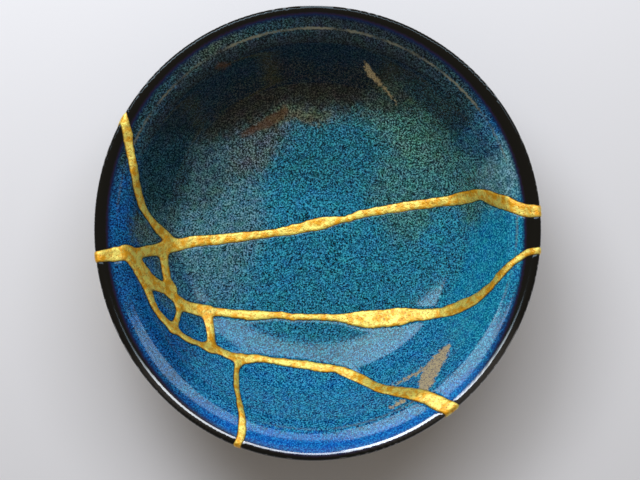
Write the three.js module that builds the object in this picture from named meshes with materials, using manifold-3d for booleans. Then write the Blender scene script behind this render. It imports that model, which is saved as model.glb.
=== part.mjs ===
// A kintsugi bowl: a shallow stoneware bowl that broke into nine shards and was joined again
// with lacquer dusted with gold. Millimetres, +Z up. The origin is the middle of the foot,
// on the surface that the bowl stands on; the chips lie towards -X, the long seam runs along X.

import * as THREE from 'three';
import { mergeVertices } from 'three/addons/utils/BufferGeometryUtils.js';
import Module from 'manifold-3d';

const wasm = await Module();
wasm.setup();

// ---- Driving dimensions ----

const RIM_RADIUS = 80;
const LIP_THICKNESS = 4.1;
const FLOOR_THICKNESS = 5.4;
const FOOT_OUTER_RADIUS = 27.5;
const FOOT_INNER_RADIUS = 24;
const FOOT_DRAFT = 1.4; // how far the inside of the foot leans in over its height
const FOOT_RECESS = 5.6; // height of the turned hollow inside the foot

// Half section of the inside, from the middle of the floor to below the lip: [radius, height].
const INSIDE = [
  [0, 11.2],
  [20, 11.8],
  [38, 13.8],
  [50, 17.4],
  [55.5, 21.2],
  [60, 26.6],
  [64.5, 32.6],
  [68.5, 37.8],
  [70.9, 40.4],
  [72.3, 41.2], // the ridge inside the rim, where the wall turns outward
  [74.8, 42.1],
  [77.2, 42.9],
];

// Hand-thrown and re-glued, the rim is a little out of round: oval, and slightly three-cornered.
const OVAL = 0.012;
const THREE_CORNERED = 0.006;
const THREE_CORNERED_TURN = THREE.MathUtils.degToRad(40);

// The cracks run square to the wall, as if all of them pointed at one place above the bowl.
const CRACK_APEX = 110;
const CRACK_BELOW = -12;
const CRACK_ABOVE = 62;

const SEAM_PROUD = 0.5; // how far the gold stands above the glaze
const SEAM_CLEARANCE = 0.3; // between the gold and the edge of a shard
const SEAM_ABOVE_TABLE = 0.2; // the gold across the foot stays off the table
const SEAM_STEP = 8; // length of one straight stretch of a seam

const TURN_STEPS = 57; // round the bowl
const INSIDE_STEPS = 12;
const LIP_STEPS = 4;
const OUTSIDE_STEPS = 9;
const OUTSIDE_START = 0.2; // share of the inside curve below which the foot begins

// Routes of the gold seams over the inside of the bowl, seen from above: [x, y, width].
const SEAMS = {
  long: [
    [-83, -10.5, 3.6], [-78, -10.2, 3.8], [-71.5, -9, 5], [-64, -7.8, 3.7], [-56, -5, 4.4],
    [-46, -2, 4.1], [-28, 0.2, 3.4], [-19.5, 1.3, 2.8], [-11, 2.6, 3.4], [0.5, 5.2, 4.5],
    [7.3, 6.5, 3], [11, 7.2, 2.4], [19, 9.4, 3], [37, 12, 3.6], [46, 13, 3.4], [55, 13.8, 4.8],
    [59.5, 13.9, 3.8], [65, 11, 4.4], [70, 8.2, 4.4], [75, 6.4, 4.6], [84, 6, 3],
  ],
  upper_left: [
    [-71, 45.5, 3], [-68, 37.4, 3.2], [-66.4, 29.2, 2.9], [-65.2, 22, 2.6], [-64, 14.5, 2.2],
    [-62.4, 8.5, 2.2], [-59, 3.5, 2.6], [-55, -0.6, 3.6], [-52.5, -3, 4],
  ],
  middle: [
    [-67.5, -7.4, 4.4], [-63.5, -12.4, 4], [-60.5, -16.6, 4.4], [-57, -19, 4],
    [-53.6, -19.6, 4], [-52, -22.5, 3.4], [-48.6, -25.5, 3.7], [-42.4, -27.4, 4.1],
    [-37, -27.8, 3], [-25.5, -28.9, 3.4], [-14, -28.9, 2.6], [-7.5, -29.6, 2.4],
    [1, -29.7, 2.4], [8, -29.9, 2.6], [12.4, -30.1, 4.2], [18.2, -30.5, 6.4],
    [24.6, -30.3, 6.5], [30.5, -29.6, 6.4], [35, -29.1, 4.9], [45.3, -28.4, 3.7],
    [49.2, -27.3, 4.1], [53.2, -25.8, 4.1], [57, -23.9, 3.2], [62, -19.6, 2.2],
    [65, -16, 2.2], [68, -13, 2.1], [71.8, -10, 2.5], [76, -8.1, 2.8], [84, -7.5, 2.6],
  ],
  front: [
    [-65, -10.4, 3.6], [-62.6, -15, 2.9], [-61, -20, 2.1], [-57.6, -27.4, 1.8],
    [-53.8, -32.4, 1.8], [-47.2, -37.8, 1.8], [-42.8, -39.8, 2.1], [-38.7, -41, 3],
    [-34.4, -42.8, 2.7], [-27.5, -45.2, 3.3], [-22, -45, 2.7], [-16.2, -45.7, 2.3],
    [-10.3, -46.6, 2.8], [1, -48.1, 3.2], [7, -48.9, 2.8], [14.3, -51.5, 3.4],
    [22.6, -55.9, 3.3], [28.5, -57.1, 3.3], [38, -59, 4.7], [42, -61, 5.3],
    [47, -63.5, 5.8], [52.5, -67.5, 5.8],
  ],
  front_rim: [
    [-28, -45, 3], [-29, -49.4, 1.7], [-28.7, -54.5, 1.8], [-27.8, -59, 1.8], [-26.6, -63, 1.9],
    [-26, -68, 2.6], [-26.3, -72, 3], [-27.3, -75, 2.8], [-31, -83, 2.2],
  ],
  chip_upper_side: [
    [-56, -4.5, 2.8], [-55.3, -11.5, 2.6], [-54.3, -16.7, 2.6], [-53.4, -20.6, 3],
  ],
  chip_outer_side: [
    [-49.4, -25.6, 2.8], [-50.2, -30, 1.5], [-51.2, -35.3, 2.2],
  ],
  chip_inner_side: [
    [-40.4, -27.4, 3.4], [-39.4, -32, 2.8], [-38.6, -36.9, 2.8], [-38.2, -41.3, 3.3],
  ],
};

// A place on each shard, seen from above, that tells it from the others.
const SHARDS = {
  back_shard: [0, 40],
  middle_shard: [0, -12],
  right_shard: [60, -36],
  front_shard: [0, -62],
  front_left_shard: [-50, -50],
  left_shard: [-71.5, 12],
  chip_shard_upper: [-60, -11.5],
  chip_shard_outer: [-55.5, -26.5],
  chip_shard_inner: [-45.5, -33],
};

// ---- Materials ----

const glazedStoneware = new THREE.MeshStandardMaterial({
  color: '#1c5470',
  roughness: 0.22,
  metalness: 0,
});

const goldOnLacquer = new THREE.MeshStandardMaterial({
  color: '#dca63c',
  roughness: 0.38,
  metalness: 1,
});

// ---- Section of the bowl ----

const insideCurve = new THREE.SplineCurve(INSIDE.map(([radius, z]) => new THREE.Vector2(radius, z)));
const insideTable = insideCurve.getPoints(200);

/** Height of the inside above the table at a distance from the axis. */
function insideHeight(radius) {
  const next = insideTable.findIndex((point) => point.x >= radius);
  if (next < 1) return next === 0 ? insideTable[0].y : insideTable.at(-1).y;
  const [low, high] = [insideTable[next - 1], insideTable[next]];
  return THREE.MathUtils.mapLinear(radius, low.x, high.x, low.y, high.y);
}

/** The way out of the clay at a place on the inside curve, away from the hollow. */
function outward(t) {
  const tangent = insideCurve.getTangent(t);
  return new THREE.Vector2(tangent.y, -tangent.x);
}

/** The wall thins from the floor to the lip. */
function outsidePoint(t) {
  const thickness = THREE.MathUtils.lerp(FLOOR_THICKNESS, LIP_THICKNESS, t);
  return insideCurve.getPoint(t).addScaledVector(outward(t), thickness);
}

/** The rounded lip: half a circle from the inside, over the top, to the outside. */
function lipPoints() {
  const out = outward(1);
  const up = insideCurve.getTangent(1);
  const half = LIP_THICKNESS / 2;
  const middle = insideCurve.getPoint(1).addScaledVector(out, half);
  const points = [];
  for (let step = 1; step < LIP_STEPS; step += 1) {
    const angle = (Math.PI * step) / LIP_STEPS;
    const point = middle.clone();
    point.addScaledVector(out, -half * Math.cos(angle));
    point.addScaledVector(up, half * Math.sin(angle));
    points.push(point);
  }
  return points;
}

/** Outside from the lip down to where the wall meets the foot. */
function outsidePoints() {
  const points = [];
  for (let step = OUTSIDE_STEPS; step >= 0; step -= 1) {
    points.push(outsidePoint(THREE.MathUtils.lerp(OUTSIDE_START, 1, step / OUTSIDE_STEPS)));
  }
  return points;
}

/** The turned foot: a low ring with a shallow hollow inside it. */
function footPoints() {
  const cove = 0.8; // how far the foot widens where it meets the wall
  const chamfer = 0.6;
  const undersideHeight = insideHeight(FOOT_OUTER_RADIUS) - FLOOR_THICKNESS;
  return [
    new THREE.Vector2(FOOT_OUTER_RADIUS + 2 * cove, undersideHeight),
    new THREE.Vector2(FOOT_OUTER_RADIUS + cove / 2, undersideHeight - cove),
    new THREE.Vector2(FOOT_OUTER_RADIUS, chamfer),
    new THREE.Vector2(FOOT_OUTER_RADIUS - chamfer, 0),
    new THREE.Vector2(FOOT_INNER_RADIUS, 0),
    new THREE.Vector2(FOOT_INNER_RADIUS - FOOT_DRAFT, FOOT_RECESS),
    new THREE.Vector2(0, FOOT_RECESS),
  ];
}

/** The whole section, from the floor over the lip and back under the foot. */
function bowlSection() {
  return [...insideCurve.getPoints(INSIDE_STEPS), ...lipPoints(), ...outsidePoints(), ...footPoints()];
}

/** The section moved out of the clay all round, for gold that stands above the glaze. */
function proudSection() {
  const section = bowlSection();
  return section.map((point, index) => {
    const before = section[Math.max(index - 1, 0)];
    const after = section[Math.min(index + 1, section.length - 1)];
    const along = after.clone().sub(before).normalize();
    const radius = point.x === 0 ? 0 : point.x - along.y * SEAM_PROUD;
    const height = point.y + along.x * SEAM_PROUD;
    return new THREE.Vector2(radius, Math.max(height, SEAM_ABOVE_TABLE));
  });
}

// ---- Solids ----

/** A closed solid from a geometry: shared corners are merged, empty triangles dropped. */
function toSolid(geometry) {
  geometry.deleteAttribute('normal');
  geometry.deleteAttribute('uv');
  const merged = mergeVertices(geometry, 1e-4);
  const index = merged.index.array;
  const corners = [];
  for (let i = 0; i < index.length; i += 3) {
    const [a, b, c] = [index[i], index[i + 1], index[i + 2]];
    if (a !== b && b !== c && c !== a) corners.push(a, b, c);
  }
  const mesh = new wasm.Mesh({
    numProp: 3,
    vertProperties: merged.attributes.position.array,
    triVerts: new Uint32Array(corners),
  });
  return new wasm.Manifold(mesh);
}

function toGeometry(solid) {
  const mesh = solid.getMesh();
  const geometry = new THREE.BufferGeometry();
  geometry.setAttribute('position', new THREE.BufferAttribute(mesh.vertProperties, 3));
  geometry.setIndex(new THREE.BufferAttribute(mesh.triVerts, 1));
  geometry.computeVertexNormals();
  return geometry;
}

/** How far the rim is from a true circle at an angle round the bowl, as a factor. */
function outOfRound(angle) {
  const oval = OVAL * Math.cos(2 * angle);
  const cornered = THREE_CORNERED * Math.cos(3 * angle - THREE_CORNERED_TURN);
  return 1 - oval + cornered;
}

/** A turned solid, thrown out of round towards the rim. */
function thrown(section) {
  const geometry = new THREE.LatheGeometry(section.reverse(), TURN_STEPS);
  geometry.rotateX(Math.PI / 2);
  const position = geometry.attributes.position;
  for (let i = 0; i < position.count; i += 1) {
    const [x, y] = [position.getX(i), position.getY(i)];
    const share = (Math.hypot(x, y) / RIM_RADIUS) ** 2;
    const factor = THREE.MathUtils.lerp(1, outOfRound(Math.atan2(y, x)), share);
    position.setXY(i, x * factor, y * factor);
  }
  return toSolid(geometry);
}

/** The outline of one seam seen from above, widened by a margin on both sides. */
function seamShape(route, margin) {
  const line = new THREE.CatmullRomCurve3(route.map(([x, y, width]) => new THREE.Vector3(x, y, width)));
  const steps = Math.ceil(line.getLength() / SEAM_STEP);
  const left = [];
  const right = [];
  for (let step = 0; step <= steps; step += 1) {
    const point = line.getPointAt(step / steps);
    const along = line.getTangentAt(step / steps);
    const across = new THREE.Vector2(-along.y, along.x).normalize();
    const reach = point.z / 2 + margin;
    left.push(new THREE.Vector2(point.x, point.y).addScaledVector(across, reach));
    right.push(new THREE.Vector2(point.x, point.y).addScaledVector(across, -reach));
  }
  return new THREE.Shape([...left, ...right.reverse()]);
}

/** One seam as a blade through the wall, narrowing towards the apex of the cracks. */
function seamBlade(route, margin) {
  const shape = seamShape(route, margin);
  const depth = CRACK_ABOVE - CRACK_BELOW;
  const geometry = new THREE.ExtrudeGeometry(shape, { depth, bevelEnabled: false });
  geometry.translate(0, 0, CRACK_BELOW);
  const position = geometry.attributes.position;
  for (let i = 0; i < position.count; i += 1) {
    const [x, y, z] = [position.getX(i), position.getY(i), position.getZ(i)];
    const factor = (CRACK_APEX - z) / (CRACK_APEX - insideHeight(Math.hypot(x, y)));
    position.setXY(i, x * factor, y * factor);
  }
  return toSolid(geometry);
}

/** All seams together. */
function seamNetwork(margin) {
  return Object.values(SEAMS)
    .map((route) => seamBlade(route, margin))
    .reduce((joined, blade) => joined.add(blade));
}

// ---- Pieces ----

function goldSeams() {
  const gold = thrown(proudSection()).intersect(seamNetwork(0));
  const mesh = new THREE.Mesh(toGeometry(gold), goldOnLacquer);
  mesh.name = 'gold_seams';
  return mesh;
}

/** The shard that a plumb line over its named place meets gets that name. */
function nameShard(mesh) {
  const down = new THREE.Vector3(0, 0, -1);
  const found = Object.entries(SHARDS).find(([, [x, y]]) => {
    const line = new THREE.Raycaster(new THREE.Vector3(x, y, CRACK_ABOVE), down);
    return line.intersectObject(mesh).length > 0;
  });
  mesh.name = found[0];
}

function shards() {
  const broken = thrown(bowlSection()).subtract(seamNetwork(SEAM_CLEARANCE));
  return broken.decompose().map((solid) => {
    const mesh = new THREE.Mesh(toGeometry(solid), glazedStoneware);
    nameShard(mesh);
    return mesh;
  });
}

const bowl = new THREE.Group();
bowl.name = 'kintsugi_bowl';
bowl.add(...shards());
bowl.add(goldSeams());

export default bowl;
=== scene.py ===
"""A kintsugi bowl: thrown stoneware in a speckled blue glaze, broken into nine shards and joined
again with lacquer and gold powder. First come the shards: how the bowl was thrown, where it
cracked, and how it was glazed. Then comes the gold that joins them, and the table and light."""
import math

import bpy
import numpy as np
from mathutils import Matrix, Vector
from mathutils.geometry import delaunay_2d_cdt


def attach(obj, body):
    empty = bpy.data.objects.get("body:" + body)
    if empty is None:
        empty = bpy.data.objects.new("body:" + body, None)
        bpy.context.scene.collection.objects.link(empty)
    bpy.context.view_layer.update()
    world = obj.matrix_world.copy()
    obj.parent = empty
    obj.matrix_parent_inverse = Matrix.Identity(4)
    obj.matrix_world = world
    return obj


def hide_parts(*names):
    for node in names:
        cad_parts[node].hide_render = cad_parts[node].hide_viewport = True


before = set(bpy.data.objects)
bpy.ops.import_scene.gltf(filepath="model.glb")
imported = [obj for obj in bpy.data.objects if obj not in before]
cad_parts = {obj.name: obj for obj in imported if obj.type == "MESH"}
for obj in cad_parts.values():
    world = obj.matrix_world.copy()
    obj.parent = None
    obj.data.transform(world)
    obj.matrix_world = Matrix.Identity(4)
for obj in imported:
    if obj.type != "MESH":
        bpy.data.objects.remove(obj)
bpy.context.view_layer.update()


# ---- The shards ------------------------------------------------------------------------------
# Nine pieces of one bowl: dark stoneware thrown on a wheel, with a low foot turned once it was
# firm, under a fluid rutile glaze that broke into a fine speckle and ran thin over the lip.
# Sizes are in millimetres, and a mesh turns them to metres when it is made.

MM = 0.001
# The thrown form. Its section is one line, from the middle of the floor over the lip and back
# under the foot, in points (radius, height).
RIM_RADIUS = 80
LIP_THICKNESS = 4.1
FLOOR_THICKNESS = 5.4
FOOT_OUTER, FOOT_INNER, FOOT_RECESS, FOOT_DRAFT = 27.5, 24, 5.6, 1.4
FOOT_COVE, FOOT_CHAMFER = 0.8, 0.6
RIDGE_RADIUS = 72.3
INSIDE = [(0, 11.2), (20, 11.8), (38, 13.8), (50, 17.4), (55.5, 21.2), (60, 26.6), (64.5, 32.7),
          (67.8, 37.3), (69.8, 39.2), (RIDGE_RADIUS, 40.3), (74.3, 41.2), (77.3, 42.95)]
# The lip is a land leaning inward, then a tight outer edge.
LIP = [(77.3, 42.95), (78, 43.17), (78.7, 43.34), (79.25, 43.25), (79.62, 42.9), (79.85, 42.3),
       (79.9, 41.7), (79.85, 41), (79.5, 40.1), (78.5, 39.05)]
OUTSIDE_START = 0.2  # share of the inside line below which the foot begins
SECTION_STEP = 0.02
SOFTENING = 31  # points averaged together, which rounds the corners to about 0.6 mm
OVAL, THREE_CORNERED, THREE_CORNERED_TURN = 0.012, 0.006, math.radians(40)


def curve_through(points, per_span):
    """A smooth line through points, with the same number of steps in each span."""
    points = np.array(points, float)
    before, after = np.vstack([points[:1], points]), np.vstack([points, points[-1:]])
    share = np.arange(per_span)[:, None] / per_span
    spans = []
    for i in range(len(points) - 1):
        a, b, c, d = before[i], points[i], points[i + 1], after[i + 2]
        spans.append(0.5 * (2 * b + (c - a) * share + (2 * a - 5 * b + 4 * c - d) * share ** 2
                            + (3 * b - a - 3 * c + d) * share ** 3))
    return np.vstack(spans + [points[-1:]])


def lengths_along(line):
    return np.append(0, np.cumsum(np.hypot(*np.diff(line[:, :2], axis=0).T)))


def evenly(line, step):
    """The same line with points an even step apart."""
    along = lengths_along(line)
    places = np.linspace(0, along[-1], int(along[-1] / step) + 1)
    return np.column_stack([np.interp(places, along, column) for column in line.T])


def free_side(line):
    """Unit vectors out of the clay, for a section line that keeps the clay on its right."""
    slope = np.gradient(line, axis=0)
    out = np.column_stack([-slope[:, 1], slope[:, 0]])
    return out / np.linalg.norm(out, axis=1)[:, None]


def bowl_section():
    """The section line with every corner softened, as wet clay and glaze leave it."""
    inside = curve_through(INSIDE, 40)
    out = -free_side(inside)
    share = np.linspace(0, 1, len(inside))[:, None]
    outside = inside + out * (FLOOR_THICKNESS + (LIP_THICKNESS - FLOOR_THICKNESS) * share)
    outside = outside[int(OUTSIDE_START * len(outside)):][::-1]
    lip = curve_through(LIP, 20)[1:-1]
    under = np.interp(FOOT_OUTER, *inside.T) - FLOOR_THICKNESS
    foot = [(FOOT_OUTER + 2 * FOOT_COVE, under), (FOOT_OUTER + FOOT_COVE / 2, under - FOOT_COVE),
            (FOOT_OUTER, FOOT_CHAMFER), (FOOT_OUTER - FOOT_CHAMFER, 0), (FOOT_INNER, 0),
            (FOOT_INNER - FOOT_DRAFT, FOOT_RECESS), (0, FOOT_RECESS)]
    line = evenly(np.vstack([inside, lip, outside, foot]), SECTION_STEP)
    padded = np.pad(line, ((SOFTENING // 2, SOFTENING // 2), (0, 0)), mode="edge")
    kernel = np.ones(SOFTENING) / SOFTENING
    soft = np.column_stack([np.convolve(column, kernel, mode="valid") for column in padded.T])
    soft[0], soft[-1] = line[0], line[-1]
    return soft


def out_of_round(angle):
    """The rim is a little oval and three-cornered, as a factor of its radius."""
    oval = OVAL * np.cos(2 * angle)
    return 1 - oval + THREE_CORNERED * np.cos(3 * angle - THREE_CORNERED_TURN)


def thrown(radius, angle):
    """Where a true radius ends up once the bowl is out of round towards the rim."""
    return radius * (1 + (out_of_round(angle) - 1) * (radius / RIM_RADIUS) ** 2)


# The cracks. The bowl broke along five long cracks, and three short ones near the left rim. They
# go through the wall along straight lines that all point at one place above the bowl. Each route
# over the inside, seen from above, is a list of (x, y, width of the gold).
CRACK_APEX = 110  # height of the place that the cracks point at
CRACKS = {
    "long": [
        (-83, -10.5, 3.6), (-78, -10.2, 3.8), (-71.5, -9, 5), (-64, -7.8, 3.7), (-56, -5, 4.4),
        (-46, -2, 4.1), (-28, 0.2, 3.4), (-19.5, 1.3, 2.8), (-11, 2.6, 3.4), (0.5, 5.2, 4.5),
        (7.3, 6.5, 3), (11, 7.2, 2.4), (19, 9.4, 3), (37, 12, 3.6), (46, 13, 3.4), (55, 13.8, 4.8),
        (59.5, 13.9, 3.8), (65, 11, 4.4), (70, 8.2, 4.4), (75, 6.4, 4.6), (84, 6, 3)],
    "upper_left": [
        (-71, 45.5, 3), (-68, 37.4, 3.2), (-66.4, 29.2, 2.9), (-65.2, 22, 2.6), (-64, 14.5, 2.2),
        (-62.4, 8.5, 2.2), (-59, 3.5, 2.6), (-55, -0.6, 3.6), (-52.5, -3, 4)],
    "middle": [
        (-67.5, -7.4, 4.4), (-63.5, -12.4, 4), (-60.5, -16.6, 4.4), (-57, -19, 4), (-53.6, -19.6, 4),
        (-52, -22.5, 3.4), (-48.6, -25.5, 3.7), (-42.4, -27.4, 4.1), (-37, -27.8, 3),
        (-25.5, -28.9, 3.4), (-14, -28.9, 2.6), (-7.5, -29.6, 2.4), (1, -29.7, 2.4), (8, -29.9, 2.6),
        (12.4, -30.1, 4.2), (18.2, -30.5, 6.4), (24.6, -30.3, 6.5), (30.5, -29.6, 6.4),
        (35, -29.1, 4.9), (45.3, -28.4, 3.7), (49.2, -27.3, 4.1), (53.2, -25.8, 4.1),
        (57, -23.9, 3.2), (62, -19.6, 2.2), (65, -16, 2.2), (68, -13, 2.1), (71.8, -10, 2.5),
        (76, -8.1, 2.8), (84, -7.5, 2.6)],
    "front": [
        (-65, -10.4, 3.6), (-62.6, -15, 2.9), (-61, -20, 2.1), (-57.6, -27.4, 1.8),
        (-53.8, -32.4, 1.8), (-47.2, -37.8, 1.8), (-42.8, -39.8, 2.1), (-38.7, -41, 3),
        (-34.4, -42.8, 2.7), (-27.5, -45.2, 3.3), (-22, -45, 2.7), (-16.2, -45.7, 2.3),
        (-10.3, -46.6, 2.8), (1, -48.1, 3.2), (7, -48.9, 2.8), (14.3, -51.5, 3.4),
        (22.6, -55.9, 3.3), (28.5, -57.1, 3.3), (38, -59, 4.7), (42, -61, 5.3),
        (47, -63.5, 5.8), (52.5, -67.5, 5.8)],
    "front_rim": [
        (-28, -45, 3), (-29, -49.4, 1.7), (-28.7, -54.5, 1.8), (-27.8, -59, 1.8), (-26.6, -63, 1.9),
        (-26, -68, 2.6), (-26.3, -72, 3), (-27.3, -75, 2.8), (-31, -83, 2.2)],
    "chip_upper_side": [(-56, -4.5, 2.8), (-55.3, -11.5, 2.6), (-54.3, -16.7, 2.6), (-53.4, -20.6, 3)],
    "chip_outer_side": [(-49.4, -25.6, 2.8), (-50.2, -30, 1.5), (-51.2, -35.3, 2.2)],
    "chip_inner_side": [(-40.4, -27.4, 3.4), (-39.4, -32, 2.8), (-38.6, -36.9, 2.8),
                        (-38.2, -41.3, 3.3)],
}
FILLET = 1.6  # reach over which two seams flow into each other
FIELD_STEP = 0.45  # spacing of the square field that holds the distance from the seams
FIELD_HALF = 85.05  # the field reaches this far each way, past the rim
HAND_WANDER = [(0.22, 3.1, 11), (0.12, 1.3, 12)]  # uneven seam edges: amount, size and seed
FAR = 6.0  # beyond this distance from a seam nothing depends on it
FINE_STEP, COARSE_STEP, RING_STEP = 0.45, 0.95, 0.55  # sides of the triangles
NEAR_SEAM = 0.9  # the triangles are fine up to this distance


def wander(x, y, size, seed):
    """Smooth seeded noise between -1 and 1, with swells about one size apart."""
    table = np.random.default_rng(seed).uniform(-1, 1, (64, 64))
    u, v = np.asarray(x) / size, np.asarray(y) / size
    i, j = np.floor(u).astype(int), np.floor(v).astype(int)
    u, v = u - i, v - j
    u, v = u * u * (3 - 2 * u), v * v * (3 - 2 * v)
    i0, i1, j0, j1 = i % 64, (i + 1) % 64, j % 64, (j + 1) % 64
    low = table[i0, j0] * (1 - u) + table[i1, j0] * u
    high = table[i0, j1] * (1 - u) + table[i1, j1] * u
    return low * (1 - v) + high * v


def crack_distance(route, axis):
    """Distance from the edge of one seam at each place of a square field, negative inside it."""
    line = evenly(curve_through(route, 20), 0.25)
    field = np.full((len(axis), len(axis)), FAR)
    for x, y, width in line:
        i0, i1 = np.searchsorted(axis, (x - FAR - 3, x + FAR + 3))
        j0, j1 = np.searchsorted(axis, (y - FAR - 3, y + FAR + 3))
        reach = np.hypot(axis[i0:i1, None] - x, axis[None, j0:j1] - y) - width / 2
        field[i0:i1, j0:j1] = np.minimum(field[i0:i1, j0:j1], reach)
    return field


def flow_together(a, b):
    """The nearer of two distances, with a fillet where they are about the same."""
    share = np.clip(0.5 + 0.5 * (b - a) / FILLET, 0, 1)
    return b * (1 - share) + a * share - FILLET * share * (1 - share)


field_axis = np.arange(-FIELD_HALF, FIELD_HALF + FIELD_STEP, FIELD_STEP)
seam_field = np.full((len(field_axis), len(field_axis)), FAR)
for crack_route in CRACKS.values():
    seam_field = flow_together(seam_field, crack_distance(crack_route, field_axis))
field_x, field_y = np.meshgrid(field_axis, field_axis, indexing="ij")
seam_field += sum(amount * wander(field_x, field_y, size, seed) for amount, size, seed in HAND_WANDER)


def seam_distance(x, y):
    """Distance from the nearest seam's edge, in plan, negative inside the gold."""
    u = np.clip((np.asarray(x) + FIELD_HALF) / FIELD_STEP, 0, len(field_axis) - 1.001)
    v = np.clip((np.asarray(y) + FIELD_HALF) / FIELD_STEP, 0, len(field_axis) - 1.001)
    i, j = u.astype(int), v.astype(int)
    u, v = u - i, v - j
    low = seam_field[i, j] * (1 - u) + seam_field[i + 1, j] * u
    high = seam_field[i, j + 1] * (1 - u) + seam_field[i + 1, j + 1] * u
    return low * (1 - v) + high * v


# The section line parts where a line from the apex just touches the lip. The face towards the
# apex is the inner sheet, the one behind it the outer sheet, and a crack goes straight from one
# to the other. A place on both is (reach, angle): the length along the inside, and the bearing.
section = bowl_section()
section_out = free_side(section)
sight = section[:, 0] / (CRACK_APEX - section[:, 1])
turn_back = int(np.argmax(sight))
inner_line, inner_out = section[:turn_back + 1], section_out[:turn_back + 1]
inner_reach = lengths_along(inner_line)
RIM_REACH = inner_reach[-1]
outer_sight = np.maximum.accumulate(sight[turn_back:][::-1])
outer_share = np.interp(sight[:turn_back + 1], outer_sight, np.arange(len(outer_sight)))
outer_share[-1] = len(outer_sight) - 1
outer_index = np.arange(len(outer_sight))
outer_line = np.column_stack([np.interp(outer_share, outer_index, column)
                              for column in section[turn_back:][::-1].T])
outer_out = np.column_stack([np.interp(outer_share, outer_index, column)
                             for column in section_out[turn_back:][::-1].T])


def place(line, out, reach, angle, lift):
    """Points on a sheet in millimetres, lifted out of the clay."""
    radius = np.interp(reach, inner_reach, line[:, 0])
    height = np.interp(reach, inner_reach, line[:, 1])
    radius = radius + lift * np.interp(reach, inner_reach, out[:, 0])
    height = height + lift * np.interp(reach, inner_reach, out[:, 1])
    radius = thrown(radius, angle)
    return np.column_stack([radius * np.cos(angle), radius * np.sin(angle), height])


def in_plan(reach, angle):
    """Where a place lies seen from above, measured over the inside."""
    radius = thrown(np.interp(reach, inner_reach, inner_line[:, 0]), angle)
    return radius * np.cos(angle), radius * np.sin(angle)


def from_plan(x, y):
    """The reach and angle of a point seen from above, also a little past the rim."""
    angle, wanted = np.arctan2(y, x), np.hypot(x, y)
    radius = wanted
    for _ in range(4):
        radius = radius * wanted / thrown(radius, angle)
    past = np.maximum(radius - inner_line[-1, 0], 0)
    return np.interp(radius, inner_line[:, 0], inner_reach) + past, angle


def crack_edges():
    """Where the field changes sign: points in plan, and the pairs of them that are joined."""
    inside = seam_field < 0
    points, found, pairs = [], {}, []

    def crossing(i, j, k, m):
        key = (i, j, k, m)
        if key not in found:
            a, b = seam_field[i, j], seam_field[k, m]
            share = a / (a - b)
            found[key] = len(points)
            points.append((field_axis[i] + share * (k - i) * FIELD_STEP,
                           field_axis[j] + share * (m - j) * FIELD_STEP))
        return found[key]

    mixed = inside[:-1, :-1].astype(int) + inside[1:, :-1] + inside[:-1, 1:] + inside[1:, 1:]
    for i, j in np.argwhere((mixed > 0) & (mixed < 4)):
        ring = [(i, j), (i + 1, j), (i + 1, j + 1), (i, j + 1)]
        cuts = []
        for a, b in zip(ring, ring[1:] + ring[:1]):
            if inside[a] != inside[b]:
                first, second = min(a, b), max(a, b)
                cuts.append(crossing(*first, *second))
        pairs += [cuts[:2], cuts[2:]] if len(cuts) == 4 else [cuts]
    points, pairs = np.array(points), np.array(pairs)
    for _ in range(3):  # evens the points out along the edge
        total, count = np.zeros_like(points), np.zeros(len(points))
        for a, b in (pairs.T, pairs.T[::-1]):
            np.add.at(total, a, points[b])
            np.add.at(count, a, 1)
        middle = count == 2
        points[middle] = 0.5 * points[middle] + 0.5 * total[middle] / 2
    return points, pairs


def dots(step):
    """A honeycomb of points over the unrolled bowl."""
    side = np.arange(-RIM_REACH, RIM_REACH, step)
    rows = np.arange(-RIM_REACH, RIM_REACH, step * 0.866)
    u, v = np.meshgrid(side, rows, indexing="ij")
    u = u + (np.arange(len(rows)) % 2)[None, :] * step / 2
    return u.ravel(), v.ravel()


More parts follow.
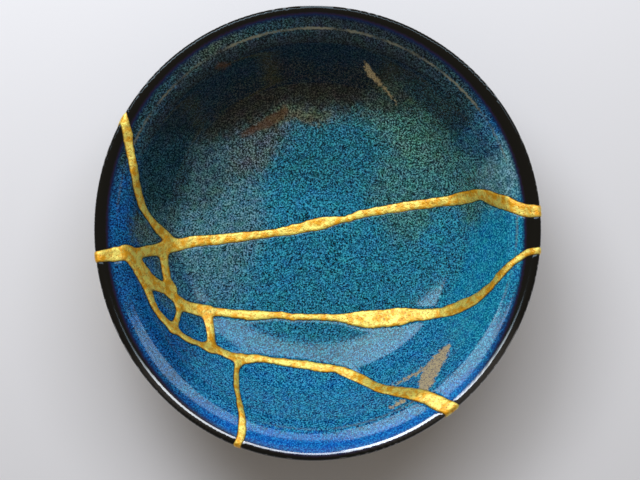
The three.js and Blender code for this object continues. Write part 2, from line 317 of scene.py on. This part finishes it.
def triangulate():
    """One net of triangles over the unrolled bowl, split along cracks, rim and foot."""
    edge_points, edge_pairs = crack_edges()
    reach, angle = from_plan(*edge_points.T)
    keep = reach < RIM_REACH + 2
    number = np.cumsum(keep) - 1
    edge_pairs = number[edge_pairs[keep[edge_pairs].all(axis=1)]]
    vertices = [np.column_stack([reach * np.cos(angle), reach * np.sin(angle)])[keep]]
    pairs = [edge_pairs]
    total = len(vertices[0])
    foot_radii = [FOOT_OUTER + 2 * FOOT_COVE, FOOT_OUTER + 0.6, FOOT_OUTER - 0.05, FOOT_OUTER - 0.4,
                  FOOT_OUTER - 0.9, FOOT_INNER + 0.3, FOOT_INNER - 0.1, FOOT_INNER - 1.2, FOOT_INNER - 1.9]
    rings = [RIM_REACH, np.interp(RIDGE_RADIUS, inner_line[:, 0], inner_reach)]
    rings += [np.interp(radius, outer_line[:, 0], inner_reach) for radius in foot_radii]
    for ring in rings:
        count = int(2 * math.pi * ring / RING_STEP)
        around = np.arange(count) * 2 * math.pi / count
        vertices.append(ring * np.column_stack([np.cos(around), np.sin(around)]))
        pairs.append(total + np.column_stack([np.arange(count), (np.arange(count) + 1) % count]))
        total += count
    rings = np.array(rings)
    # Points that lie close to a seam's edge or to a ring are left out, or they would make slivers.
    for step, low, high in ((FINE_STEP, -FAR, NEAR_SEAM), (COARSE_STEP, NEAR_SEAM, FAR + 2)):
        u, v = dots(step)
        reach, angle = np.hypot(u, v), np.arctan2(v, u)
        distance = seam_distance(*in_plan(reach, angle))
        keep = (reach < RIM_REACH - 0.4 * step) & (distance > low) & (distance <= high)
        keep &= np.abs(distance) > 0.22
        keep &= np.abs(reach[:, None] - rings[None, :]).min(axis=1) > 0.35 * step
        vertices.append(np.column_stack([u, v])[keep])
    vertices = [Vector(point) for point in np.vstack(vertices)]
    pairs = [tuple(pair) for pair in np.vstack(pairs).tolist()]
    out = delaunay_2d_cdt(vertices, pairs, [], 0, 1e-4)
    net = np.array([tuple(point) for point in out[0]])
    return np.hypot(*net.T), np.arctan2(net[:, 1], net[:, 0]), np.array(out[2])


net_reach, net_angle, net_triangles = triangulate()
net_x, net_y = in_plan(net_reach, net_angle)
net_distance = seam_distance(net_x, net_y)
net_u, net_v = net_reach * np.cos(net_angle), net_reach * np.sin(net_angle)
u_mid, v_mid = net_u[net_triangles].mean(axis=1), net_v[net_triangles].mean(axis=1)
mid_reach, mid_angle = np.hypot(u_mid, v_mid), np.arctan2(v_mid, u_mid)
mid_x, mid_y = in_plan(mid_reach, mid_angle)
on_bowl = mid_reach < RIM_REACH
in_gold = on_bowl & (seam_distance(mid_x, mid_y) < 0)


def whole_pieces(chosen):
    """Sorts triangles into pieces that share no corner."""
    parent = list(range(len(net_reach)))

    def root(i):
        while parent[i] != i:
            parent[i] = parent[parent[i]]
            i = parent[i]
        return i

    for a, b, c in net_triangles[chosen].tolist():
        a = root(a)
        parent[root(b)] = a
        parent[root(c)] = a
    return np.array([root(a) if use else -1 for a, use in zip(net_triangles[:, 0].tolist(), chosen)])


def slab(name, chosen, lift_in, lift_out, lowest):
    """A closed piece of wall: its inner and outer sheets, joined at the rim and at its edges."""
    triangles = net_triangles[chosen]
    used = np.unique(triangles)
    number = np.full(len(net_reach), -1)
    number[used] = np.arange(len(used))
    triangles = number[triangles]
    reach, angle = net_reach[used], net_angle[used]
    top = place(inner_line, inner_out, reach, angle, lift_in[used])
    bottom = place(outer_line, outer_out, reach, angle, lift_out[used])
    bottom[:, 2] = np.maximum(bottom[:, 2], lowest)
    rim = reach > RIM_REACH - 0.01
    below = np.where(rim, np.arange(len(used)), 0)
    below[~rim] = len(used) + np.arange((~rim).sum())
    sides = np.vstack([triangles[:, [0, 1]], triangles[:, [1, 2]], triangles[:, [2, 0]]])
    key = np.sort(sides, axis=1)
    _, first, count = np.unique(key, axis=0, return_index=True, return_counts=True)
    open_sides = sides[first[count == 1]]
    open_sides = open_sides[~rim[open_sides].all(axis=1)]
    walls = []
    for a, b in open_sides.tolist():
        corners = [a, below[a], below[b], b]
        walls.append([c for i, c in enumerate(corners) if c != corners[i - 1]])
    faces = triangles.tolist() + below[triangles[:, ::-1]].tolist() + walls
    mesh = bpy.data.meshes.new(name)
    mesh.from_pydata(np.vstack([top, bottom[~rim]]) * MM, [], faces)
    mesh.shade_smooth()
    mesh.set_sharp_from_angle(angle=math.radians(50))
    piece = bpy.data.objects.new(name, mesh)
    bpy.context.scene.collection.objects.link(piece)
    source = np.append(used, used[~rim])
    outside = np.append(np.zeros(len(used)), np.ones((~rim).sum()))
    return piece, source, outside


def paint(piece, name, values):
    """Stores a number, or a colour, at every corner of a piece, for its material to read."""
    values = np.asarray(values, np.float32)
    kind, field = ("FLOAT", "value") if values.ndim == 1 else ("FLOAT_COLOR", "color")
    layer = piece.data.attributes.new(name, kind, "POINT")
    layer.data.foreach_set(field, values.ravel())


# The nine shards, each by a place (x, y) that lies on it.
SHARDS = {
    "back_shard": (0, 40), "middle_shard": (0, -12), "right_shard": (60, -36),
    "front_shard": (0, -62), "front_left_shard": (-50, -50), "left_shard": (-71.5, 12),
    "chip_shard_upper": (-60, -11.5), "chip_shard_outer": (-55.5, -26.5),
    "chip_shard_inner": (-45.5, -33),
}


def linear(code):
    """An sRGB hex colour as linear red, green, blue and alpha."""
    parts = [int(code[i:i + 2], 16) / 255 for i in (1, 3, 5)]
    return (*(c / 12.92 if c <= 0.04045 else ((c + 0.055) / 1.055) ** 2.4 for c in parts), 1.0)


# The tones that the one glaze takes where it is thick or thin: the dark, the usual and the light
# colour of its speckle. The iron black and blue black also carry painted shade, for the back wall
# that faces away from the lights, and the milky tone is a painted reflection of the lights.
TONES = {
    "teal": ("#053f58", "#126280", "#308aa6"),
    "deep_teal": ("#063a48", "#145264", "#2f7c90"),
    "grey_teal": ("#1b3f48", "#326674", "#5a8896"),
    "green_teal": ("#0c343c", "#27595f", "#4c8688"),
    "sea_green": ("#0c2a28", "#2c524e", "#568a82"),
    "moss": ("#141e1a", "#26342f", "#48584f"),
    "ash": ("#161f21", "#334244", "#5a6e72"),
    "iron_brown": ("#20261a", "#3c4234", "#5c6250"),
    # These two are partly painted shade: the dark glaze of the back wall, darkened further for its shadow.
    "iron_black_and_shade": ("#090805", "#1c1b16", "#35352d"),
    "blue_black_and_shade": ("#0b1216", "#192228", "#28353b"),
    "ink": ("#04161e", "#142b34", "#2c4c56"),
    "slate": ("#10303a", "#284850", "#48686e"),
    "dusk_blue": ("#06344c", "#1c4c62", "#3a7088"),
    "cobalt": ("#01305c", "#054678", "#165f98"),
    "clear_blue": ("#014a76", "#0f6896", "#308fba"),
    "lagoon": ("#02608a", "#0c7498", "#2c98b8"),
    "royal_blue": ("#0152a2", "#0763b4", "#1b80cd"),
    # A painted reflection of the lights on the glossy wall, in a pale blue grey.
    "milky_painted_reflection": ("#305c66", "#44727c", "#6898a4"),
}
# Where each tone lies: bearing in degrees from +X and radius of its middle, then its reach
# around the bowl and up the wall.
# The darker tones across the back and upper left of the wall are partly painted shade.
GLAZE_AREAS = [
    ("teal", 0, 0, 24, 22), ("teal", -70, 34, 34, 14), ("teal", -8, 45, 18, 9), ("deep_teal", 78, 30, 20, 13),
    ("grey_teal", 172, 34, 18, 12), ("grey_teal", 185, 46, 12, 5), ("green_teal", 24, 38, 18, 12),
    ("sea_green", 44, 51, 14, 8), ("green_teal", 16, 56, 12, 6), ("ash", 128, 41, 18, 6),
    ("iron_brown", 98, 46, 12, 3), ("iron_black_and_shade", 108, 55, 30, 6), ("iron_black_and_shade", 84, 60, 20, 5),
    ("moss", 62, 56, 10, 5), ("slate", 150, 44, 14, 8), ("slate", 182, 57, 12, 6),
    ("dusk_blue", 202, 54, 14, 6), ("ink", 158, 60, 16, 9), ("blue_black_and_shade", 96, 68, 62, 4),
    ("blue_black_and_shade", 136, 64, 20, 6), ("ink", 46, 65, 12, 5), ("dusk_blue", 31, 68, 7, 5),
    ("cobalt", 186, 69, 28, 4), ("cobalt", 214, 66, 22, 9), ("clear_blue", -106, 60, 36, 14),
    ("clear_blue", -55, 60, 26, 12), ("lagoon", -24, 63, 24, 10), ("lagoon", -3, 64, 12, 8),
    # The milky area at the upper right is a painted reflection.
    ("milky_painted_reflection", 15, 66, 7, 5),
]
# The same beyond the ridge, where the wall turns outward, as bearing and tone.
# The dark tones at the back of the band are partly painted shade.
BAND_TONES = [
    (-165, "cobalt"), (-130, "cobalt"), (-112, "royal_blue"), (-50, "royal_blue"), (-28, "cobalt"),
    # The milky stretch at the upper right of the band is a painted reflection.
    (-8, "lagoon"), (5, "lagoon"), (14, "milky_painted_reflection"), (22, "milky_painted_reflection"), (30, "cobalt"), (45, "ink"),
    (60, "blue_black_and_shade"), (90, "blue_black_and_shade"), (105, "ink"), (120, "moss"), (135, "ink"),
    (160, "ink"), (172, "cobalt"),
]
CONTRAST = 1.9  # the speckle is drawn stronger than its mean tones, since fine grains blend
BROAD_DRIFT, FINE_DRIFT, GRAINY_DRIFT = 2, 1.5, 1.5  # how far the edges between areas stray


def glaze_colours(x, y, seed):
    """The three speckle colours at each place, blended between the areas in a grainy way."""
    random = np.random.default_rng(seed)
    x = (x + BROAD_DRIFT * wander(x, y, 11, 31) + FINE_DRIFT * wander(x, y, 4, 33)
         + random.uniform(-GRAINY_DRIFT, GRAINY_DRIFT, len(x)))
    y = (y + BROAD_DRIFT * wander(x, y, 11, 32) + FINE_DRIFT * wander(x, y, 4, 34)
         + random.uniform(-GRAINY_DRIFT, GRAINY_DRIFT, len(x)))
    bearing, radius = np.arctan2(y, x), np.hypot(x, y)
    tones = {name: np.array([linear(code) for code in codes]) for name, codes in TONES.items()}
    total, blended = np.zeros(len(x)), np.zeros((len(x), 3, 4))
    for tone, middle, out, around, deep in GLAZE_AREAS:
        turn = (bearing - math.radians(middle) + math.pi) % (2 * math.pi) - math.pi
        weight = 1 / (0.1 + (turn * out / around) ** 2 + ((radius - out) / deep) ** 2) ** 3
        total += weight
        blended += weight[:, None, None] * tones[tone]
    blended /= total[:, None, None]
    marks = np.radians([mark for mark, _ in BAND_TONES])
    around = np.stack([tones[tone] for _, tone in BAND_TONES]).reshape(len(marks), -1)
    band = np.stack([np.interp(bearing, marks, column, period=2 * math.pi) for column in around.T])
    band = band.T.reshape(-1, 3, 4)
    beyond = np.clip((radius - RIDGE_RADIUS) / 2.0 + 0.5, 0, 1)[:, None, None]
    blended = blended * (1 - beyond) + band * beyond
    usual = blended[:, 1:2]
    blended = np.clip(usual + CONTRAST * (blended - usual), 0.0005, 1)
    blended[..., 3] = 1
    return blended[:, 0], blended[:, 1], blended[:, 2]


# Streaks in the glaze, seen from above as (x, y, half width): bare tan where it ran thin, and
# rust where iron came through.
TAN_STREAKS = [
    [(47.2, -40.8, 0.5), (44.5, -44.6, 1.7), (41, -49.4, 2.2), (38.6, -54, 2.2), (37, -57, 1.2)],
    [(41, -47, 0.5), (37, -50, 0.6), (31, -53, 0.4), (26, -55.5, 0.2)],
    [(17.5, 61.8, 0.4), (19.5, 59, 0.9), (24, 54.5, 0.4), (30, 48, 0.2)],
    [(30.5, -60.6, 0.8), (26, -62.6, 0.3)],
]
RUST_STREAKS = [
    [(-12, 48.5, 0.5), (-13, 46, 1.6), (-19, 42.5, 1.8), (-28, 38, 0.6)],
    [(-36, 58.5, 0.2), (-34, 59.5, 0.8), (-31.5, 60, 0.3)],
]
LACQUER_LINE = 0.35  # how far dark lacquer shows beside the gold
LUSTRE_MIDDLE, LUSTRE_SPREAD = 275, 62  # bearing and reach of the front, where the lip is glassiest
LUSTRE_RADIUS, LUSTRE_REACH = 78, 1.4  # the flat land on top of the lip
LUSTRE_FADE = 12  # degrees over which it fades out towards the sides


def streak_distance(x, y, streaks):
    """Distance from the edge of the nearest streak, negative on it."""
    nearest = np.full(len(x), 9.0)
    for route in streaks:
        for streak_x, streak_y, half in evenly(curve_through(route, 10), 0.4):
            nearest = np.minimum(nearest, np.hypot(x - streak_x, y - streak_y) - half)
    return nearest


# How much of the ridge inside the rim shows as bare tan, by bearing.
RIDGE_BARE = [(0, 0.45), (30, 0.8), (60, 0.95), (120, 0.8), (160, 0.5), (178, 0), (248, 0), (262, 0.3),
              (300, 0.5), (320, 0.3)]
# The radius of that tan line, by bearing.
RIDGE_LINE = [(0, 71.5), (30, 72.3), (160, 72.3), (250, 69.6), (300, 69.4), (330, 70.5)]
# How far the dark edge of the lip comes in from the outermost line, by bearing.
LIP_DARK = [(0, 5.4), (45, 4.4), (90, 2.9), (135, 3.6), (180, 4.4), (225, 3.6), (270, 1.6), (315, 2.2),
            (340, 4.4)]


def add_node(tree, kind, inputs=(), output=0, **settings):
    """Adds a shader node, sets it up, gives its inputs values or links, and returns an output."""
    node = tree.nodes.new("ShaderNode" + kind)
    for name, value in settings.items():
        setattr(node, name, value)
    for name, value in dict(inputs).items():
        if isinstance(value, bpy.types.NodeSocket):
            tree.links.new(value, node.inputs[name])
        else:
            node.inputs[name].default_value = value
    return None if output is None else node.outputs[output]


# Rutile glaze, a fluid blue glass full of fine crystals over an iron-brown one: to the eye a
# deep wet gloss over a grainy speckle, with tan and rust where it thins, and a black lip. The
# crystals are 0.1 to 0.4 mm, and are drawn as clumps of 0.4 to 0.6 mm so that they show.
glaze = bpy.data.materials.new("rutile_blue_glaze")
glaze.use_nodes = True
tree = glaze.node_tree
tree.nodes.clear()
where = add_node(tree, "TexCoord", output="Object")
grain = add_node(tree, "TexNoise", {"Vector": where, "Scale": 1 / (0.62 * MM), "Detail": 1.0,
                                    "Roughness": 0.6})
dust = add_node(tree, "TexNoise", {"Vector": where, "Scale": 1 / (0.4 * MM), "Detail": 1.0})
hue = add_node(tree, "TexNoise", {"Vector": where, "Scale": 1 / (3.5 * MM), "Detail": 2.0}, output="Color")
speckle = add_node(tree, "Math", {0: grain, 1: 0.55}, operation="MULTIPLY")
speckle = add_node(tree, "Math", {0: dust, 1: 0.45, 2: speckle}, operation="MULTIPLY_ADD")
dark, usual, light = (add_node(tree, "Attribute", output="Color", attribute_name=name)
                      for name in ("speckle_dark", "speckle_usual", "speckle_light"))
share = add_node(tree, "MapRange", {"Value": speckle, 1: 0.4, 2: 0.48}, interpolation_type="SMOOTHSTEP")
colour = add_node(tree, "Mix", {0: share, 6: dark, 7: usual}, output=2, data_type="RGBA")
share = add_node(tree, "MapRange", {"Value": speckle, 1: 0.51, 2: 0.59}, interpolation_type="SMOOTHSTEP")
colour = add_node(tree, "Mix", {0: share, 6: colour, 7: light}, output=2, data_type="RGBA")
# Patches of a few millimetres lean to green or to violet.
colour = add_node(tree, "Mix", {0: 0.4, 6: colour, 7: hue}, output=2, data_type="RGBA",
                  blend_type="SOFT_LIGHT")
ragged = add_node(tree, "TexNoise", {"Vector": where, "Scale": 1 / (1.3 * MM), "Detail": 3.0})
ragged = add_node(tree, "Math", {0: ragged, 1: 0.5}, operation="SUBTRACT")
for mark, softness, most, code in (("tan", 0.35, 0.9, "#bfa878"), ("rust", 0.9, 0.7, "#57371c")):
    edge = add_node(tree, "Attribute", output="Fac", attribute_name=mark)
    edge = add_node(tree, "Math", {0: ragged, 1: 2.6, 2: edge}, operation="MULTIPLY_ADD")
    share = add_node(tree, "MapRange", {"Value": edge, 1: softness, 2: -softness, 4: most},
                     interpolation_type="SMOOTHSTEP")
    thin = add_node(tree, "MapRange", {"Value": speckle, 1: 0.4, 2: 0.52, 3: 0.35})
    share = add_node(tree, "Math", {0: share, 1: thin}, operation="MULTIPLY")
    colour = add_node(tree, "Mix", {0: share, 6: colour, 7: linear(code)}, output=2, data_type="RGBA")
# The ridge inside the rim shows as a broken line of tan.
edge = add_node(tree, "Attribute", output="Fac", attribute_name="ridge")
edge = add_node(tree, "Math", {0: ragged, 1: 1.2, 2: edge}, operation="MULTIPLY_ADD")
edge = add_node(tree, "Math", {0: edge}, operation="ABSOLUTE")
share = add_node(tree, "MapRange", {"Value": edge, 1: 0.6, 2: 0.1, 4: 0.8}, interpolation_type="SMOOTHSTEP")
broken = add_node(tree, "TexNoise", {"Vector": where, "Scale": 1 / (11 * MM), "Detail": 3.0})
broken = add_node(tree, "MapRange", {"Value": broken, 1: 0.4, 2: 0.62, 3: 0.12},
                  interpolation_type="SMOOTHSTEP")
share = add_node(tree, "Math", {0: share, 1: broken}, operation="MULTIPLY")
bare = add_node(tree, "Attribute", output="Fac", attribute_name="ridge_bare")
share = add_node(tree, "Math", {0: share, 1: bare}, operation="MULTIPLY")
colour = add_node(tree, "Mix", {0: share, 6: colour, 7: linear("#77745f")}, output=2, data_type="RGBA")
# Towards the lip the glaze thins to indigo, then to plum, then to the brown black that covers
# the lip and the outside.
lip = add_node(tree, "Attribute", output="Fac", attribute_name="lip")
lip = add_node(tree, "Math", {0: ragged, 1: 0.8, 2: lip}, operation="MULTIPLY_ADD")
for near, far, code in ((1.9, 0.1, "#0a1c42"), (0.7, 0.1, "#231831"), (0.35, -0.5, "#15110b")):
    share = add_node(tree, "MapRange", {"Value": lip, 1: near, 2: far}, interpolation_type="SMOOTHSTEP")
    colour = add_node(tree, "Mix", {0: share, 6: colour, 7: linear(code)}, output=2, data_type="RGBA")
# The foot was wiped clean of glaze, so its ring is bare stoneware up to about 1.4 mm.
height = add_node(tree, "Attribute", output="Fac", attribute_name="foot")
height = add_node(tree, "Math", {0: ragged, 1: 0.8, 2: height}, operation="MULTIPLY_ADD")
share = add_node(tree, "MapRange", {"Value": height, 1: 1.5, 2: 1.2})
colour = add_node(tree, "Mix", {0: share, 6: colour, 7: linear("#6e563f")}, output=2, data_type="RGBA")
# Dark lacquer edges the gold.
beside = add_node(tree, "Attribute", output="Fac", attribute_name="seam")
share = add_node(tree, "MapRange", {"Value": beside, 1: LACQUER_LINE, 2: 0.0, 4: 0.8},
                 interpolation_type="SMOOTHSTEP")
colour = add_node(tree, "Mix", {0: share, 6: colour, 7: linear("#0a0f10")}, output=2, data_type="RGBA")
# The glass itself is softly waved, and glassiest on the land of the front lip.
lustre = add_node(tree, "Attribute", output="Fac", attribute_name="lustre")
wave = add_node(tree, "TexNoise", {"Vector": where, "Scale": 1 / (7 * MM), "Detail": 2.0})
wave = add_node(tree, "Bump", {"Strength": 0.08, "Distance": 0.2 * MM, "Height": wave})
shader = add_node(tree, "BsdfPrincipled", {
    "Base Color": colour, "Roughness": 0.12, "IOR": 1.5, "Specular IOR Level": 0.27,
    "Specular Tint": linear("#cfeaf6"),
    "Coat Weight": lustre, "Coat Roughness": 0.06, "Coat IOR": 1.9, "Normal": wave})
add_node(tree, "OutputMaterial", {"Surface": shader}, output=None)

# The glaze drops away a little at every crack. The inside is nearly smooth, and the outside
# keeps the throwing rings.
EDGE_DROP, EDGE_REACH = 0.14, 0.45
WAVE_HEIGHT, WAVE_SIZE = 0.03, 17
INNER_RING_HEIGHT, INNER_RING_SPACING = 0.004, 5.2
OUTER_RING_HEIGHT, OUTER_RING_SPACING = 0.09, 4.1
RIDGE_HEIGHT, RIDGE_REACH = 0.03, 0.7
RIM_FADE = 4  # waves and rings fade out over this distance below the rim

net_piece = whole_pieces(on_bowl & ~in_gold)
from_ridge = net_reach - np.interp(RIDGE_RADIUS, inner_line[:, 0], inner_reach)
shard_edge = EDGE_DROP * np.exp(-(np.maximum(net_distance, 0) / EDGE_REACH) ** 2)
inner_wave = WAVE_HEIGHT * wander(net_u, net_v, WAVE_SIZE, 21)
inner_rings = INNER_RING_HEIGHT * np.sin(net_reach * 2 * math.pi / INNER_RING_SPACING + net_angle)
outer_rings = OUTER_RING_HEIGHT * np.sin(net_reach * 2 * math.pi / OUTER_RING_SPACING)
ridge_bump = RIDGE_HEIGHT * np.exp(-(from_ridge / RIDGE_REACH) ** 2)
rim_fade = np.clip((RIM_REACH - net_reach) / RIM_FADE, 0, 1)
shard_lift_in = (inner_wave + inner_rings + ridge_bump) * rim_fade - shard_edge
shard_lift_out = outer_rings * rim_fade - shard_edge

for shard_name, (seed_x, seed_y) in SHARDS.items():
    nearest = np.argmin(np.hypot(mid_x - seed_x, mid_y - seed_y))
    shard, source, outside = slab(shard_name + "_glazed", net_piece == net_piece[nearest],
                                  shard_lift_in, shard_lift_out, 0.0)
    x, y, facing_in = net_x[source], net_y[source], outside == 0
    for layer, colours in zip(("speckle_dark", "speckle_usual", "speckle_light"), glaze_colours(x, y, 51)):
        paint(shard, layer, colours)
    paint(shard, "tan", np.where(facing_in, streak_distance(x, y, TAN_STREAKS), 9))
    paint(shard, "rust", np.where(facing_in, streak_distance(x, y, RUST_STREAKS), 9))
    radius, bearing = np.hypot(x, y), net_angle[source]
    ridge_line = thrown(np.interp(np.degrees(bearing), *np.transpose(RIDGE_LINE), period=360), bearing)
    paint(shard, "ridge", np.where(facing_in, radius - ridge_line, 9))
    paint(shard, "ridge_bare", np.interp(np.degrees(bearing), *np.transpose(RIDGE_BARE), period=360))
    dark_reach = np.interp(np.degrees(bearing), *np.transpose(LIP_DARK), period=360)
    dark_from = thrown(RIM_RADIUS, bearing) - dark_reach
    paint(shard, "lip", np.where(facing_in, dark_from - radius, -9))
    heights = np.array([corner.co.z for corner in shard.data.vertices]) / MM
    paint(shard, "foot", np.where(facing_in, 99, heights))
    from_front = np.abs((np.degrees(bearing) - LUSTRE_MIDDLE + 180) % 360 - 180)
    on_land = 1 - np.abs(radius / thrown(1, bearing) - LUSTRE_RADIUS) / LUSTRE_REACH
    in_front = (LUSTRE_SPREAD - from_front) / LUSTRE_FADE
    paint(shard, "lustre", np.clip(2.5 * on_land, 0, 1) * np.clip(in_front, 0, 1))
    paint(shard, "seam", net_distance[source])
    shard.data.materials.append(glaze)
    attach(shard, "root")
    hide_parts(shard_name)


# ---- The gold seams --------------------------------------------------------------------------
# Lacquer paste fills every crack through the wall. While its last coat was tacky, gold powder
# was dusted on: a low rounded bead, uneven by hand, warm, grainy and only half polished.

SEAM_PROUD = 0.42
SEAM_MOST = 0.5  # no lump stands higher than this
SEAM_SHOULDER = 1.1  # distance from a seam's edge to where its bead is full height
SEAM_ABOVE_TABLE = 0.2

# Gold powder under a thin coat of clear lacquer: a true metal, but a crowd of tiny facets, so it
# glows pale yellow where it faces the light, and is deep yellow and brown away from it. Its
# grains are under 0.1 mm, and are drawn as clumps of 0.7 mm so that they show.
powdered_gold = bpy.data.materials.new("powdered_gold")
powdered_gold.use_nodes = True
tree = powdered_gold.node_tree
tree.nodes.clear()
where = add_node(tree, "TexCoord", output="Object")
patches = add_node(tree, "TexNoise", {"Vector": where, "Scale": 1 / (2.4 * MM), "Detail": 2.0})
powder = add_node(tree, "TexNoise", {"Vector": where, "Scale": 1 / (0.7 * MM), "Detail": 2.0,
                                     "Roughness": 0.65})
share = add_node(tree, "MapRange", {"Value": patches, 1: 0.35, 2: 0.62}, interpolation_type="SMOOTHSTEP")
colour = add_node(tree, "Mix", {0: share, 6: linear("#f6b818"), 7: linear("#fff07c")}, output=2,
                  data_type="RGBA")
share = add_node(tree, "MapRange", {"Value": powder, 1: 0.44, 2: 0.34, 4: 0.7},
                 interpolation_type="SMOOTHSTEP")
colour = add_node(tree, "Mix", {0: share, 6: colour, 7: linear("#c08a14")}, output=2, data_type="RGBA")
rim = add_node(tree, "Attribute", output="Fac", attribute_name="depth")
share = add_node(tree, "MapRange", {"Value": rim, 1: 0.3, 2: 0.0, 4: 0.7}, interpolation_type="SMOOTHSTEP")
colour = add_node(tree, "Mix", {0: share, 6: colour, 7: linear("#8a5a18")}, output=2, data_type="RGBA")
roughness = add_node(tree, "MapRange", {"Value": powder, 1: 0.3, 2: 0.7, 3: 0.75, 4: 0.55})
facets = add_node(tree, "Bump", {"Strength": 1.0, "Distance": 0.2 * MM, "Height": powder})
shader = add_node(tree, "BsdfPrincipled", {
    "Base Color": colour, "Metallic": 1.0, "Roughness": roughness, "Coat Weight": 0.8,
    "Coat Roughness": 0.32, "Normal": facets, "Coat Normal": facets})
add_node(tree, "OutputMaterial", {"Surface": shader}, output=None)

# The bead rises in a quarter round from each edge, and swells and sinks with the hand.
depth = np.clip(-net_distance / SEAM_SHOULDER, 0, 1)
bead = SEAM_PROUD * np.sqrt(1 - (1 - depth) ** 2)
lumps = 0.09 * wander(net_x, net_y, 2.4, 41) + 0.06 * wander(net_x, net_y, 1.0, 42)
bead = bead * (0.85 + 0.15 * wander(net_x, net_y, 6, 43)) + lumps * depth
bead = np.minimum(bead, SEAM_MOST)
gold, source, outside = slab("gold_seams_powdered", in_gold, bead, bead, SEAM_ABOVE_TABLE)
paint(gold, "depth", -net_distance[source])
gold.data.materials.append(powdered_gold)
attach(gold, "root")
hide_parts("gold_seams")


# ---- The table, the light and the camera -----------------------------------------------------
# A plain pale table in a dim warm room, lit by two soft skylight panels above and behind the
# bowl, and a camera that looks almost straight down from a little in front.

bpy.ops.mesh.primitive_plane_add(size=3)
table = bpy.context.object
table.name = "table"
pale_table = bpy.data.materials.new("pale_table")
pale_table.use_nodes = True
tree = pale_table.node_tree
tree.nodes.clear()
shader = add_node(tree, "BsdfPrincipled", {"Base Color": linear("#e4e4e6"), "Roughness": 0.7})
add_node(tree, "OutputMaterial", {"Surface": shader}, output=None)
table.data.materials.append(pale_table)


def soft_light(name, middle, size, radiance, tint):
    """A flat soft light that faces down, in metres, as bright as its radiance says."""
    lamp = bpy.data.lights.new(name, "AREA")
    lamp.shape = "RECTANGLE"
    lamp.size, lamp.size_y = size
    lamp.energy = radiance * math.pi * size[0] * size[1]
    lamp.color = linear(tint)[:3]
    light = bpy.data.objects.new(name, lamp)
    light.location = middle
    bpy.context.scene.collection.objects.link(light)


soft_light("skylight_left", (-0.29, 0.43, 0.63), (0.44, 0.34), 10.0, "#f4f8ff")
soft_light("skylight_right", (0.19, 0.37, 0.63), (0.52, 0.22), 7.0, "#f4f8ff")

world = bpy.data.worlds.new("room")
world.use_nodes = True
world.node_tree.nodes["Background"].inputs["Color"].default_value = linear("#fff4e8")
world.node_tree.nodes["Background"].inputs["Strength"].default_value = 0.25
bpy.context.scene.world = world
bpy.context.scene.view_settings.view_transform = "Standard"

lens = bpy.data.cameras.new("camera")
lens.lens = 86
camera = bpy.data.objects.new("camera", lens)
camera.location = Vector((1.2, -60.3, 578.5)) * MM
aim = Vector((1.2, -4.1, 43.1)) * MM
camera.rotation_euler = (camera.location - aim).to_track_quat("Z", "Y").to_euler()
bpy.context.scene.collection.objects.link(camera)
bpy.context.scene.camera = camera
